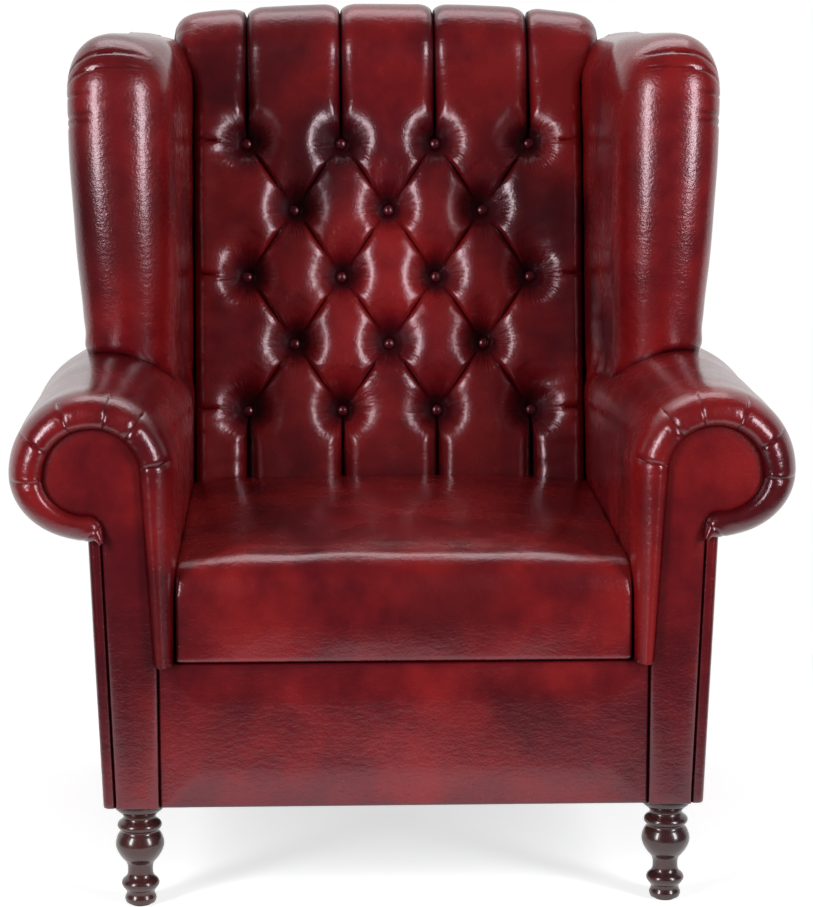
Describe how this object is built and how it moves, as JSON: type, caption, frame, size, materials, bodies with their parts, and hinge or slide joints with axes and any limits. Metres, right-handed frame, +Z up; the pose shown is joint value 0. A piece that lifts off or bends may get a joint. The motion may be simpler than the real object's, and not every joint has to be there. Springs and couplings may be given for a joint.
{
  "type": "wing armchair",
  "caption": "Button-backed leather wing armchair with rolled arms, channelled top, tight crowned seat and turned front legs.",
  "frame": {"origin": "on the floor, under the middle of the chair's outline", "axes": "+Z up, the sitter faces -Y, +X to the right in a view from the front"},
  "size_m": [0.9, 0.82, 1.0345],
  "materials": {
    "leg_wood": "turned hardwood, dark mahogany stain under gloss lacquer",
    "beech": "planed beech, unfinished",
    "plywood": "birch plywood, unfinished",
    "roll_leather": "antique oxblood hide, hand-rubbed satin",
    "body_leather": "antique oxblood hide, hand-rubbed satin",
    "button_leather": "leather-covered button",
    "foam": "upholstery foam with a lining",
    "webbing": "woven elastic webbing",
    "felt": "needled felt",
    "lining": "black non-woven dust cover",
    "twine": "waxed button twine",
    "steel": "zinc-plated steel",
    "brass": "machined brass",
    "glide": "black nylon"
  },
  "bodies": {
    "root": {"front_leg_left": "leg_wood", "front_leg_right": "leg_wood", "rear_leg_left": "leg_wood", "rear_leg_right": "leg_wood", "floor_glides": "glide", "leg_bolts": "steel", "threaded_inserts": "brass", "front_rail": "beech", "back_rail": "beech", "side_rail_left": "beech", "side_rail_right": "beech", "corner_blocks": "beech", "frame_dowels": "beech", "front_stump_left": "beech", "front_stump_right": "beech", "arm_log_left": "beech", "arm_log_right": "beech", "arm_panel_left": "plywood", "arm_panel_right": "plywood", "back_post_left": "beech", "back_post_right": "beech", "crest_rail": "beech", "tufting_board": "plywood", "back_cheek_left": "plywood", "back_cheek_right": "plywood", "wing_board_left": "plywood", "wing_board_right": "plywood", "webbing_lengthwise": "webbing", "webbing_crosswise": "webbing", "webbing_felt": "felt", "seat_foam": "foam", "back_foam": "foam", "arm_foam_left": "foam", "arm_foam_right": "foam", "wing_foam_left": "foam", "wing_foam_right": "foam", "border_foam": "foam", "seat_cover": "roll_leather", "back_cover": "roll_leather", "arm_cover_left": "roll_leather", "arm_cover_right": "roll_leather", "wing_cover_left": "roll_leather", "wing_cover_right": "roll_leather", "front_border_cover": "body_leather", "facing_board_left": "plywood", "facing_board_right": "plywood", "facing_cover_left": "body_leather", "facing_cover_right": "body_leather", "outside_arm_left": "body_leather", "outside_arm_right": "body_leather", "outside_wing_left": "body_leather", "outside_wing_right": "body_leather", "outside_back": "body_leather", "arm_rear_cap_left": "body_leather", "arm_rear_cap_right": "body_leather", "tuft_buttons": "button_leather", "tuft_twines": "twine", "tuft_washers": "steel", "dust_cover": "lining", "dust_cover_staples": "steel"}
  },
  "joints": []
}
